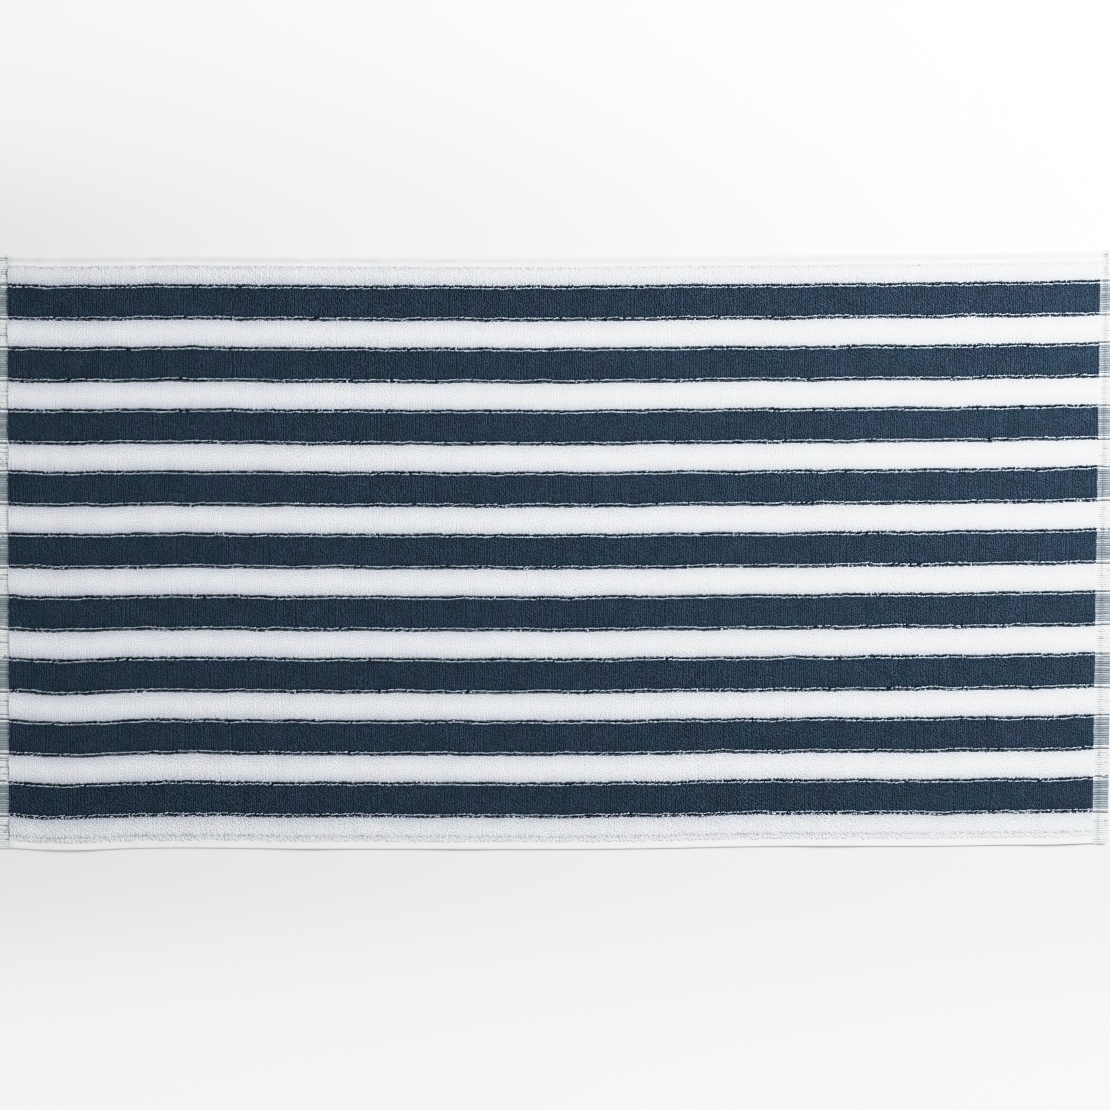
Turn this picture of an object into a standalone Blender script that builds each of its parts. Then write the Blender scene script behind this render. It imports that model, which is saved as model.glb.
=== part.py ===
"""A striped terry bath towel, lying open on a flat surface, as one closed solid.

The towel is one woven cloth. Its warp runs along X, and so do its nine navy bands, each edged
by a fine dark line and a fine white line that lie a little lower than the loops beside them.
Both long edges are turned and stitched flat. At each end the loops stop at a header of flat
weave, whose outer part is turned under. The solid reaches as far as the loops do, on both
faces, and its underside is flat where the cloth touches the surface and lifts a little under
each soft ridge.

Metres, +Z up. The origin is on the surface, below the middle of the towel's box.
"""
import math
from collections import namedtuple

import bmesh
import bpy
from mathutils import Matrix, Vector

for old in list(bpy.data.objects):
    bpy.data.objects.remove(old, do_unlink=True)

# The cloth, pulled straight
LENGTH = 1.438
WIDTH = 0.762

# Thickness over both faces
PILE_THICK = 0.0045
LINE_THICK = 0.0035
SIDE_HEM_THICK = 0.0024
HEADER_THICK = 0.0018
HEADER_HEM_THICK = 0.0028

# Stripes, counted across the width from the front edge, at -Y
BANDS = 9
BAND_PITCH = 0.0797
BAND_WIDE = 0.047
EDGE_LINE_WIDE = 0.0056
FRONT_HEM_WIDE = 0.011
FRONT_STRIP_WIDE = 0.029
BACK_HEM_WIDE = 0.0135

# Ends
HEADER_WIDE = 0.0205
HEADER_HEM_WIDE = 0.0125
PILE_SHOULDER = 0.0015
CORNER = 0.005
CORNER_CUT = 0.3

# The pile between the headers is divided into this many stretches along X
STRETCHES = 32

# How much further along X each end reaches at the back edge than at the front edge
LEFT_END_LEAN = -0.0025
RIGHT_END_LEAN = 0.0115

# The stripes wander: at each place along the towel, how far they lie towards the back
Drift = namedtuple("Drift", "along across")
DRIFTS = (
    Drift(along=-0.720, across=0.0026),
    Drift(along=-0.640, across=0.0008),
    Drift(along=-0.470, across=0.0021),
    Drift(along=-0.300, across=0.0006),
    Drift(along=0.000, across=0.0000),
    Drift(along=0.250, across=0.0023),
    Drift(along=0.470, across=0.0041),
    Drift(along=0.620, across=0.0058),
    Drift(along=0.720, across=0.0080),
)

# Places where the cloth is pulled towards the front or the back
Pull = namedtuple("Pull", "along across shift reach_along reach_across")
PULLS = (
    Pull(along=-0.625, across=-0.260, shift=-0.0030, reach_along=0.110, reach_across=0.330),
    Pull(along=0.300, across=-0.330, shift=0.0018, reach_along=0.160, reach_across=0.200),
)

# Soft ridges across the towel, where it stands off the surface
Ridge = namedtuple("Ridge", "along lean crest reach")
RIDGES = (
    Ridge(along=-0.590, lean=0.040, crest=0.0016, reach=0.065),
    Ridge(along=-0.325, lean=-0.030, crest=0.0012, reach=0.060),
    Ridge(along=-0.105, lean=0.020, crest=0.0010, reach=0.060),
    Ridge(along=0.385, lean=0.050, crest=0.0011, reach=0.070),
    Ridge(along=0.640, lean=-0.025, crest=0.0014, reach=0.060),
)

Row = namedtuple("Row", "across thick")
Column = namedtuple("Column", "along thick")


def soft_step(share):
    """0 to 1, level at both ends."""
    share = min(max(share, 0.0), 1.0)
    return share * share * (3.0 - 2.0 * share)


def bump(distance, reach):
    """1 in the middle, falling softly to 0 at the reach."""
    return 0.5 + 0.5 * math.cos(math.pi * min(abs(distance) / reach, 1.0))


def drift(along):
    """How far the whole cloth lies towards the back at this place along it."""
    if along <= DRIFTS[0].along:
        return DRIFTS[0].across
    for near, far in zip(DRIFTS, DRIFTS[1:]):
        if along <= far.along:
            share = soft_step((along - near.along) / (far.along - near.along))
            return near.across + share * (far.across - near.across)
    return DRIFTS[-1].across


def laid(along, across):
    """Where a point of the straight cloth lies: its X, its Y and how far it is lifted."""
    end_lean = LEFT_END_LEAN + (RIGHT_END_LEAN - LEFT_END_LEAN) * (0.5 + along / LENGTH)
    x = along + end_lean * across / WIDTH
    y = across + drift(along)
    for pull in PULLS:
        here = bump(along - pull.along, pull.reach_along)
        y += pull.shift * here * bump(across - pull.across, pull.reach_across)
    lift = 0.0
    for ridge in RIDGES:
        lift += ridge.crest * bump(along - ridge.along - ridge.lean * across / WIDTH, ridge.reach)
    return x, y, lift


def stripe_rows():
    """The rows across the width, from the front edge to the back edge."""
    front, back = -WIDTH / 2, WIDTH / 2
    front_pile = front + FRONT_HEM_WIDE
    back_pile = back - BACK_HEM_WIDE
    rows = [
        Row(front, SIDE_HEM_THICK),
        Row(front + CORNER, SIDE_HEM_THICK),
        Row(front_pile - PILE_SHOULDER, SIDE_HEM_THICK),
        Row(front_pile, PILE_THICK),
    ]
    for band in range(BANDS):
        near = front_pile + FRONT_STRIP_WIDE + band * BAND_PITCH
        far = near + BAND_WIDE
        for line in (near, far - EDGE_LINE_WIDE):
            rows.append(Row(line, PILE_THICK))
            rows.append(Row(line + EDGE_LINE_WIDE / 2, LINE_THICK))
            rows.append(Row(line + EDGE_LINE_WIDE, PILE_THICK))
    rows += [
        Row(back_pile, PILE_THICK),
        Row(back_pile + PILE_SHOULDER, SIDE_HEM_THICK),
        Row(back - CORNER, SIDE_HEM_THICK),
        Row(back, SIDE_HEM_THICK),
    ]
    return rows


def end_columns():
    """The columns of one header, measured in from the end of the towel."""
    return [
        Column(0.0, HEADER_HEM_THICK),
        Column(CORNER, HEADER_HEM_THICK),
        Column(HEADER_HEM_WIDE, HEADER_HEM_THICK),
        Column(HEADER_HEM_WIDE + PILE_SHOULDER, HEADER_THICK),
        Column(HEADER_WIDE - PILE_SHOULDER, HEADER_THICK),
    ]


def length_columns():
    """The columns along the length, from the left end to the right end."""
    half = LENGTH / 2
    left = [Column(-half + column.along, column.thick) for column in end_columns()]
    right = [Column(half - column.along, column.thick) for column in reversed(end_columns())]
    pile_long = LENGTH - 2 * HEADER_WIDE
    pile = []
    for stretch in range(STRETCHES + 1):
        along = -pile_long / 2 + pile_long * stretch / STRETCHES
        pile.append(Column(along, PILE_THICK))
    return left + pile + right


def grid(mesh, columns, rows, upper):
    """One face of the cloth: a vertex for each column and row, and the faces between them."""
    points = []
    for column in columns:
        line = []
        for row in rows:
            x, y, lift = laid(column.along, row.across)
            thick = min(row.thick, column.thick) if upper else 0.0
            line.append(mesh.verts.new((x, y, lift + thick)))
        points.append(line)
    for near, far in zip(points, points[1:]):
        for row in range(len(rows) - 1):
            mesh.faces.new((near[row], far[row], far[row + 1], near[row + 1]))
    return points


def round_corners(columns, rows, points):
    """Draw the outermost corner points in along both edges."""
    for column in (0, -1):
        for row in (0, -1):
            inward = Vector((columns[column].along, rows[row].across, 0.0))
            inward.x = -math.copysign(CORNER * CORNER_CUT, inward.x)
            inward.y = -math.copysign(CORNER * CORNER_CUT, inward.y)
            points[column][row].co += inward


def zip_edges(mesh, upper, lower, place):
    """Join two edges with triangles, one point on at a time, whichever edge is behind."""
    above, below = 0, 0
    while above < len(upper) - 1 or below < len(lower) - 1:
        below_done = below == len(lower) - 1
        above_left = above < len(upper) - 1
        if below_done or above_left and place(upper[above + 1]) <= place(lower[below + 1]):
            mesh.faces.new((upper[above], upper[above + 1], lower[below]))
            above += 1
        else:
            mesh.faces.new((upper[above], lower[below + 1], lower[below]))
            below += 1


def terry_material():
    """White cotton terry, dull and rough."""
    material = bpy.data.materials.new("white_cotton_terry")
    material.use_nodes = True
    shader = material.node_tree.nodes["Principled BSDF"]
    shader.inputs["Base Color"].default_value = (0.80, 0.82, 0.84, 1.0)
    shader.inputs["Roughness"].default_value = 0.95
    shader.inputs["Metallic"].default_value = 0.0
    return material


def towel():
    """The towel's solid: its upper face with the bands, its plainer underside, and the edges."""
    rows = stripe_rows()
    columns = length_columns()
    edge_rows = rows[:3] + rows[-3:]
    plain_rows = [row for row in rows[4:-4] if row.thick == LINE_THICK][::2]
    under_rows = edge_rows[:3] + plain_rows + edge_rows[3:]

    mesh = bmesh.new()
    upper = grid(mesh, columns, rows, upper=True)
    lower = grid(mesh, columns, under_rows, upper=False)
    round_corners(columns, rows, upper)
    round_corners(columns, under_rows, lower)
    for end in (0, -1):
        zip_edges(mesh, upper[end], lower[end], lambda point: point.co.y)
        top_side = [line[end] for line in upper]
        under_side = [line[end] for line in lower]
        zip_edges(mesh, top_side, under_side, lambda point: point.co.x)
    bmesh.ops.recalc_face_normals(mesh, faces=mesh.faces)

    low = [min(point.co[axis] for point in mesh.verts) for axis in range(3)]
    high = [max(point.co[axis] for point in mesh.verts) for axis in range(3)]
    middle = Vector(((low[0] + high[0]) / 2, (low[1] + high[1]) / 2, low[2]))
    bmesh.ops.transform(mesh, matrix=Matrix.Translation(-middle), verts=mesh.verts)

    shape = bpy.data.meshes.new("towel_cloth")
    mesh.to_mesh(shape)
    mesh.free()
    shape.shade_smooth()
    shape.set_sharp_from_angle(angle=math.radians(30.0))
    shape.materials.append(terry_material())
    piece = bpy.data.objects.new("towel_cloth", shape)
    bpy.context.collection.objects.link(piece)
    return piece


towel()
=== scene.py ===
import math
from collections import namedtuple

import bmesh
import bpy
import numpy as np
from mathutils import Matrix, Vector


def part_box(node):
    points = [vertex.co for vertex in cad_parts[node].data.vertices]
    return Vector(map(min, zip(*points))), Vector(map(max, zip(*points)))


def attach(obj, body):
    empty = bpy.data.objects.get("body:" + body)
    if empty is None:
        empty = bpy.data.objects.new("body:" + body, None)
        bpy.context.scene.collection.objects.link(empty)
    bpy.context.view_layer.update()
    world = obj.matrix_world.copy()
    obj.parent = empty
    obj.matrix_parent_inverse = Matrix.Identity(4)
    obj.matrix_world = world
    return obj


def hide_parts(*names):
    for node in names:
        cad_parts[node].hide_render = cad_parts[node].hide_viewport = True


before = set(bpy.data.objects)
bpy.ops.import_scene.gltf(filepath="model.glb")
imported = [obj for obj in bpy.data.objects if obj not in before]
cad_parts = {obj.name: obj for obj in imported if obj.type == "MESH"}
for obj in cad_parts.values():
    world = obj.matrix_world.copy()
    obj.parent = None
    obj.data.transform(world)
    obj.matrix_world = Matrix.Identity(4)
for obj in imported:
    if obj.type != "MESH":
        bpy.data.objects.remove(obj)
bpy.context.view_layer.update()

# ----------
# The cloth as it lies. One woven length of cotton terry, its warp along X, spread open by hand
# on a flat surface. So its stripes wander a little, one end slants, and a few soft ridges
# stand off the surface.
CLOTH_LONG = 1.438
CLOTH_WIDE = 0.762
LEFT_END_LEAN = -0.0025
RIGHT_END_LEAN = 0.0115
CORNER_ROUND = 0.005
OUTLINE_STEPS = 201

Drift = namedtuple("Drift", "along across")
DRIFTS = (
    Drift(-0.720, 0.0026),
    Drift(-0.640, 0.0008),
    Drift(-0.470, 0.0021),
    Drift(-0.300, 0.0006),
    Drift(0.0, 0.0),
    Drift(0.250, 0.0023),
    Drift(0.470, 0.0041),
    Drift(0.620, 0.0058),
    Drift(0.720, 0.0080),
)
Pull = namedtuple("Pull", "along across shift reach_along reach_across")
PULLS = (
    Pull(-0.625, -0.260, -0.0030, 0.110, 0.330),
    Pull(0.300, -0.330, 0.0018, 0.160, 0.200),
)
Ridge = namedtuple("Ridge", "along lean crest reach")
RIDGES = (
    Ridge(-0.590, 0.040, 0.0016, 0.065),
    Ridge(-0.325, -0.030, 0.0012, 0.060),
    Ridge(-0.105, 0.020, 0.0010, 0.060),
    Ridge(0.385, 0.050, 0.0011, 0.070),
    Ridge(0.640, -0.025, 0.0014, 0.060),
)
# The warp threads sway between one another, less beside the long edges: each sway's length,
# its size, and how far it turns over across the width
SWAY_FADE = 0.04
Sway = namedtuple("Sway", "long size turn")
SWAYS = (
    Sway(0.171, 0.00032, 23.0),
    Sway(0.097, 0.00026, -47.0),
    Sway(0.053, 0.00020, 71.0),
    Sway(0.029, 0.00012, -113.0),
)


def soft_step(share):
    """0 to 1, level at both ends."""
    share = np.clip(share, 0.0, 1.0)
    return share * share * (3.0 - 2.0 * share)


def bump(distance, reach):
    """1 in the middle, falling softly to 0 at the reach."""
    return 0.5 + 0.5 * np.cos(np.pi * np.minimum(np.abs(distance) / reach, 1.0))


def drift(along):
    """How far the whole cloth lies towards the back at this place along it."""
    total = DRIFTS[0].across
    for near, far in zip(DRIFTS, DRIFTS[1:]):
        step = soft_step((along - near.along) / (far.along - near.along))
        total = total + (far.across - near.across) * step
    return total


def round_corners(along, across):
    """The same places, with those in the cloth's four corners drawn in to a round outline."""
    past_end = np.maximum(np.abs(along) - (CLOTH_LONG / 2 - CORNER_ROUND), 0.0)
    past_side = np.maximum(np.abs(across) - (CLOTH_WIDE / 2 - CORNER_ROUND), 0.0)
    reach = np.maximum(np.hypot(past_end, past_side), 1e-9)
    draw = 1.0 - np.maximum(past_end, past_side) / reach
    return along - np.sign(along) * past_end * draw, across - np.sign(across) * past_side * draw


def laid(along, across):
    """Where points of the straight cloth lie: their X, their Y and how far they are lifted."""
    along, across = round_corners(along, across)
    end_lean = LEFT_END_LEAN + (RIGHT_END_LEAN - LEFT_END_LEAN) * (0.5 + along / CLOTH_LONG)
    x = along + end_lean * across / CLOTH_WIDE
    y = across + drift(along)
    for pull in PULLS:
        here = bump(along - pull.along, pull.reach_along)
        y = y + pull.shift * here * bump(across - pull.across, pull.reach_across)
    inside = soft_step((CLOTH_WIDE / 2 - np.abs(across)) / SWAY_FADE)
    for sway in SWAYS:
        y = y + inside * sway.size * np.sin(2 * np.pi * along / sway.long + sway.turn * across)
    lift = np.zeros_like(x)
    for ridge in RIDGES:
        from_crest = along - ridge.along - ridge.lean * across / CLOTH_WIDE
        lift = lift + ridge.crest * bump(from_crest, ridge.reach)
    return x, y, lift


def box_shift():
    """What brings the middle of the laid cloth's outline over the middle of its CAD solid."""
    low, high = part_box("towel_cloth")
    side = np.linspace(-0.5, 0.5, OUTLINE_STEPS)
    along = np.concatenate([side * CLOTH_LONG] * 2 + [np.sign(side) * CLOTH_LONG / 2])
    half = np.full_like(side, CLOTH_WIDE / 2)
    across = np.concatenate([half, -half, side * CLOTH_WIDE])
    x, y, _ = laid(along, across)
    return (low.x + high.x - x.min() - x.max()) / 2, (low.y + high.y - y.min() - y.max()) / 2


SHIFT_X, SHIFT_Y = box_shift()

# ----------
# The ground cloth. A plain cotton weave that holds all the loops: thick under the terry, thin
# along each band's two edge lines and in the headers. Its warp is dyed in stripes before
# weaving, and its long edges and ends are turned under and stitched down.
BANDS = 9
BAND_PITCH = 0.0797
BAND_WIDE = 0.047
OUTER_WHITE = 0.040
FIRST_BAND = -CLOTH_WIDE / 2 + OUTER_WHITE + BAND_WIDE / 2
BODY_HALF = 0.0180
PALE_LINE = 0.0190
DARK_LINE = 0.0222
LINES_END = 0.0235
FRONT_HEM_WIDE = 0.011
BACK_HEM_WIDE = 0.0135
FRONT_SEAM = -CLOTH_WIDE / 2 + 0.0160
BACK_SEAM = CLOTH_WIDE / 2 - 0.0155
HEADER_WIDE = 0.0205
HEADER_HEM_WIDE = 0.0125

GROUND_HIGH = 0.0026
GROUND_CROWN = 0.0005
CROWN_WIDE = 0.009
LINE_HIGH = 0.0022
LINE_STEP = 0.001
LINE_LIP = 0.0006
SEAM_DEEP = 0.0007
SEAM_REACH = 0.0025
SIDE_HEM_HIGH = 0.0024
HEADER_HIGH = 0.0018
HEADER_HEM_HIGH = 0.0028
EDGE_ROUND = 0.0018
STEP_WIDE = 0.0012
HEADER_STEP_WIDE = 0.0034
# Slow waves in the ground and in the side hems: their size, how close they follow along the
# cloth, and how far and how often they swing about
Waves = namedtuple("Waves", "size along swing turn")
GROUND_WAVES = Waves(0.00012, 410, 7, 61)
GROUND_WAVES_ACROSS = 530
HEM_WAVES = Waves(0.00025, 270, 2, 113)

# Where rows of points run: from a band's middle, in from an edge, beside a seam or a hem's step
BAND_ROWS = (
    0.007, 0.0145, BODY_HALF, 0.0187, 0.0198, 0.0209, DARK_LINE, LINES_END, 0.0246, 0.030
)
EDGE_ROWS = (0, 0.0002, 0.0006, 0.0012, 0.0020, CORNER_ROUND)
SEAM_ROWS = (0, 0.0012, 0.0026, 0.009)
HEADER_ROWS = (0.009, 0.0118, HEADER_HEM_WIDE, 0.0132, 0.0165, 0.0198, HEADER_WIDE, 0.0212)
HEM_ROW = 0.7
STEP_ROW = 0.0007
COLUMN_STEP = 0.009
UNDER_STEP = 4
SHARP_ANGLE = math.radians(60)
BAKE_MARGIN = 0.01

# Colours from a band's middle outwards: its body, the crevice, the two lines and the white
# The ground in the crevice and under both edge lines is painted near-black, as shade in the groove there
LINE_GROUND_PAINTED_SHADE = (0.004, 0.008, 0.014)
GROUND_COLOURS = ((0.016, 0.030, 0.049), *[LINE_GROUND_PAINTED_SHADE] * 3, (0.72, 0.745, 0.79))
HEADER_COLOURS = (
    (0.13, 0.155, 0.19),
    (0.09, 0.11, 0.14),
    (0.54, 0.57, 0.60),
    (0.22, 0.25, 0.28),
    (0.62, 0.645, 0.66),
)
UNDER_COLOURS = (
    (0.022, 0.038, 0.062),
    (0.01, 0.02, 0.03),
    (0.35, 0.40, 0.45),
    (0.02, 0.03, 0.045),
    (0.72, 0.74, 0.77),
)
LINE_BLUR = 0.0003
PALE_START = PALE_LINE - 0.0005
BETWEEN_LINES = (PALE_LINE + DARK_LINE) / 2
DARK_STOP = LINES_END - 0.0006
WHITE_START = LINES_END + 0.0001
# The side hems' white, painted lighter at the front and darker at the back for how the light falls on
# them, and the painted shade of the fold in the back one
HEM_WHITES_PAINTED_LIGHT = ((0.825, 0.83, 0.825), (0.775, 0.78, 0.785))
FOLD_INSET = 0.0065
FOLD_SHADE_REACH = 0.0052
FOLD_PAINTED_SHADE = (0.67, 0.67, 0.67)
# Painted shade on the white terry: painted shadow where the seams pucker the terry, the outermost strips
# a little greyer, and painted shade beside the bands
UNSHADED = (1.0, 1.0, 1.0)
SEAM_INSET = 0.0158
SEAM_PAINTED_SHADOW = (0.42, 0.42, 0.42)
PUCKER_SHADOW_REACH = 0.0045
OUTER_STRIP = 0.0405
OUTER_SHADE = 0.935
# Painted shade at the white strips' edges beside the bands
BAND_PAINTED_SHADE = (0.56, 0.595, 0.675)
BAND_PAINTED_SHADE_WIDE = 0.0155
BAND_PAINTED_SHADE_FALL = 1.6
# Painted shade on the navy at its bands' two edges
EDGE_PAINTED_SHADE = 0.55
EDGE_PAINTED_SHADE_WIDE = 0.0035

# Soft random marks: how many a metre, how fine, from what to what, and how close across
NOISE_SPAN = (0.25, 0.75)
Marks = namedtuple("Marks", "scale detail low high across", defaults=[1.0])
STRAY_MARKS = Marks(330.0, 2.0, -0.0009, 0.0009, 0.35)
HEM_MARKS = Marks(60.0, 3.0, 0.95, 1.04, 3.0)
FOLD_SHADE_MARKS = Marks(40.0, 2.0, 0.35, 1.15, 2.0)
PUCKER_SHADOW_MARKS = Marks(190.0, 2.0, -0.32, 1.15, 1.8)
ROUGH_MARKS = Marks(90.0, 2.0, 0.86, 1.0)
UNDER_SHADES = Marks(420.0, 2.0, 0.75, 1.25)
UNDER_LOOPS = Marks(420.0, 2.0, 0.0, 1.0)
COTTON_GLOSS = 0.05
BUMP_STRENGTH = 0.6
THREAD_PITCH = 0.00065
WEAVE_DEEP = 0.0002
UNDER_LOOPS_DEEP = 0.0012


def from_band(across):
    """How far from the middle line of the nearest band."""
    band = np.clip(np.round((across - FIRST_BAND) / BAND_PITCH), 0, BANDS - 1)
    return np.abs(across - FIRST_BAND - band * BAND_PITCH)


def rolled_edge(inset):
    """How far the face drops at this distance from an edge, where the cloth is turned under."""
    return EDGE_ROUND - np.sqrt(EDGE_ROUND**2 - np.clip(EDGE_ROUND - inset, 0.0, EDGE_ROUND) ** 2)


def height_of(waves, along, swinging):
    """How high such waves are at a place along the cloth, swinging about with another place."""
    swing = waves.swing * np.sin(swinging * waves.turn)
    return waves.size * np.sin(along * waves.along + swing)


def ground_height(along, across):
    """How far the top of the ground cloth is above its underside."""
    away = from_band(across)
    in_line = soft_step((away - BODY_HALF) / LINE_STEP)
    in_line = in_line * soft_step((LINES_END + LINE_LIP - away) / LINE_STEP)
    crown = GROUND_CROWN * soft_step((away - LINES_END) / CROWN_WIDE)
    high = GROUND_HIGH + crown - (GROUND_HIGH - LINE_HIGH) * in_line
    high += height_of(GROUND_WAVES, along, across) * np.sin(across * GROUND_WAVES_ACROSS)
    from_seam = np.minimum(np.abs(across - FRONT_SEAM), np.abs(across - BACK_SEAM))
    high = high - SEAM_DEEP * bump(from_seam, SEAM_REACH)
    hem = np.where(across < 0, FRONT_HEM_WIDE, BACK_HEM_WIDE)
    to_side = CLOTH_WIDE / 2 - np.abs(across)
    sway = height_of(HEM_WAVES, along, along) * bump(to_side - hem / 2, hem / 2)
    side = soft_step((hem - to_side) / STEP_WIDE + 0.5)
    high = high + (SIDE_HEM_HIGH + sway - rolled_edge(to_side) - high) * side
    to_end = CLOTH_LONG / 2 - np.abs(along)
    turned = soft_step((HEADER_HEM_WIDE - to_end) / HEADER_STEP_WIDE + 0.5)
    flat = HEADER_HIGH + (HEADER_HEM_HIGH - HEADER_HIGH) * turned
    header = soft_step((HEADER_WIDE - to_end) / STEP_WIDE + 0.5)
    return high + (flat - rolled_edge(to_end) - high) * header


def cloth_rows():
    """Places across the width, closer together at every line, seam, hem and edge."""
    rows = []
    for band in range(BANDS):
        middle = FIRST_BAND + band * BAND_PITCH
        rows += [middle - away for away in BAND_ROWS] + [middle + away for away in BAND_ROWS]
    for side, hem, seam in ((-1, FRONT_HEM_WIDE, FRONT_SEAM), (1, BACK_HEM_WIDE, BACK_SEAM)):
        insets = [*EDGE_ROWS, hem * HEM_ROW, hem - STEP_ROW, hem + STEP_ROW]
        insets += [CLOTH_WIDE / 2 - abs(seam) + beside for beside in SEAM_ROWS]
        rows += [side * (CLOTH_WIDE / 2 - inset) for inset in insets]
    return np.array(sorted(rows))


def cloth_columns():
    """Places along the length, closer together in the headers."""
    left = -CLOTH_LONG / 2 + np.array(EDGE_ROWS + HEADER_ROWS)
    pile = np.linspace(left[-1], -left[-1], round(-2 * left[-1] / COLUMN_STEP) + 1)
    return np.concatenate([left[:-1], pile, -left[-2::-1]])


def grid_faces(points, turned=False):
    """Quads between neighbouring points, given as a grid of their numbers."""
    corners = (points[:-1, :-1], points[1:, :-1], points[1:, 1:], points[:-1, 1:])
    faces = np.stack([corner.ravel() for corner in corners], 1)
    return faces[:, ::-1].tolist() if turned else faces.tolist()


def zip_edges(upper, lower, place):
    """Triangles between two rows of points, one point on at a time, whichever row is behind."""
    faces, above, below = [], 0, 0
    while above < len(upper) - 1 or below < len(lower) - 1:
        below_done = below == len(lower) - 1
        above_left = above < len(upper) - 1
        if below_done or above_left and place[upper[above + 1]] <= place[lower[below + 1]]:
            faces.append((upper[above], upper[above + 1], lower[below]))
            above += 1
        else:
            faces.append((upper[above], lower[below + 1], lower[below]))
            below += 1
    return faces


def put_uv(mesh, name, spots):
    """A UV map that gives every corner its vertex's spot."""
    corners = np.empty(len(mesh.loops), np.int32)
    mesh.loops.foreach_get("vertex_index", corners)
    layer = mesh.uv_layers.new(name=name, do_init=False)
    layer.uv.foreach_set("vector", spots[corners].astype(np.float32).ravel())


def put_bake_uv(mesh, shares):
    """The UV map for baking: shares of the piece's length and width, inside a small margin."""
    put_uv(mesh, "OFBake", shares * (1 - 2 * BAKE_MARGIN) + BAKE_MARGIN)


def new_mesh(name, points, edges, faces):
    """A mesh of these points, edges and faces."""
    mesh = bpy.data.meshes.new(name)
    mesh.from_pydata(points, edges, faces)
    return mesh


def add_piece(name, shown):
    """An object at the origin that shows this mesh, light or camera."""
    piece = bpy.data.objects.new(name, shown)
    bpy.context.scene.collection.objects.link(piece)
    return piece


def laid_points(columns, rows, height):
    """A grid's places on the straight cloth, and where those points lie."""
    along, across = (part.ravel() for part in np.meshgrid(columns, rows, indexing="ij"))
    x, y, lift = laid(along, across)
    points = np.stack([x + SHIFT_X, y + SHIFT_Y, lift + height(along, across)], 1)
    return np.stack([along, across], 1), points


def cloth_face():
    """The upper face alone, which places everything that stands on the cloth."""
    columns, rows = cloth_columns(), cloth_rows()
    flat, points = laid_points(columns, rows, ground_height)
    upper = np.arange(len(points)).reshape(len(columns), len(rows))
    mesh = new_mesh("cloth_face", points.tolist(), [], grid_faces(upper))
    put_uv(mesh, "straight", flat)
    return add_piece("cloth_face", mesh)


def turn_outwards(mesh):
    """Every face of a closed mesh turned to point outwards."""
    body = bmesh.new()
    body.from_mesh(mesh)
    bmesh.ops.recalc_face_normals(body, faces=body.faces)
    body.to_mesh(mesh)
    body.free()


def ground_cloth():
    """The closed sheet: the upper face, a plainer underside, and the edges between them."""
    columns, rows = cloth_columns(), cloth_rows()
    flat, points = laid_points(columns, rows, ground_height)
    upper = np.arange(len(points)).reshape(len(columns), len(rows))
    columns, rows = (
        np.unique(np.append(places[::UNDER_STEP], places[-1])) for places in (columns, rows)
    )
    under_flat, under = laid_points(columns, rows, lambda along, across: 0.0 * along)
    lower = len(points) + np.arange(len(under)).reshape(len(columns), len(rows))
    faces = grid_faces(lower, turned=True)
    under_count = len(faces)
    faces += grid_faces(upper)
    place = np.concatenate([flat, under_flat])
    for end in (0, -1):
        faces += zip_edges(upper[end].tolist(), lower[end].tolist(), place[:, 1])
    for side in (0, -1):
        faces += zip_edges(upper[:, side].tolist(), lower[:, side].tolist(), place[:, 0])
    mesh = new_mesh("ground_cloth", np.concatenate([points, under]).tolist(), [], faces)
    put_uv(mesh, "straight", place)
    share = place / (CLOTH_LONG, CLOTH_WIDE) + 0.5
    share[:, 1] = share[:, 1] / 2 + 0.5 * (np.arange(len(place)) >= len(points))
    put_bake_uv(mesh, share)
    is_under = np.arange(len(faces)) < under_count
    mesh.polygons.foreach_set("material_index", is_under.astype(np.int32))
    turn_outwards(mesh)
    mesh.shade_smooth()
    mesh.set_sharp_from_angle(angle=SHARP_ANGLE)
    return add_piece("ground_cloth", mesh)


def fill(node, inputs):
    """Give a node these inputs by name or number, each a value or a link."""
    for socket, value in dict(inputs).items():
        if isinstance(value, bpy.types.NodeSocket):
            node.id_data.links.new(value, node.inputs[socket])
        else:
            node.inputs[socket].default_value = value


def add_node(tree, kind, inputs=(), **settings):
    """A new node with these inputs and settings."""
    node = tree.nodes.new(kind)
    for name, value in settings.items():
        setattr(node, name, value)
    fill(node, inputs)
    return node


def sum_of(tree, operation, *values):
    """The result of one sum on values or links."""
    return add_node(tree, "ShaderNodeMath", enumerate(values), operation=operation).outputs[0]


def vector_of(tree, operation, *values):
    """The result of one sum on vectors or links."""
    return add_node(tree, "ShaderNodeVectorMath", enumerate(values), operation=operation).outputs[0]


def stretched(tree, place, by):
    """A place multiplied by three numbers, one for each axis."""
    return vector_of(tree, "MULTIPLY", place, by)


def shaded(tree, colour, by):
    """A colour made darker or lighter by a share."""
    return add_node(tree, "ShaderNodeVectorMath", {0: colour, "Scale": by}, operation="SCALE").outputs[0]


def blend(tree, share, low, high):
    """A colour between two, by a share from 0 to 1."""
    low, high = ((*end, 1) if isinstance(end, tuple) else end for end in (low, high))
    return add_node(tree, "ShaderNodeMix", {0: share, 6: low, 7: high}, data_type="RGBA").outputs[2]


def tinted(tree, colour, share, shade):
    """A colour multiplied by a shade, as far as the share goes."""
    return stretched(tree, colour, blend(tree, share, UNSHADED, shade))


def between(tree, value, start, stop, low=0.0, high=1.0, **settings):
    """A value that goes from low to high as another goes from start to stop."""
    inputs = {0: value, 1: start, 2: stop, 3: low, 4: high}
    return add_node(tree, "ShaderNodeMapRange", inputs, **settings).outputs[0]


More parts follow.
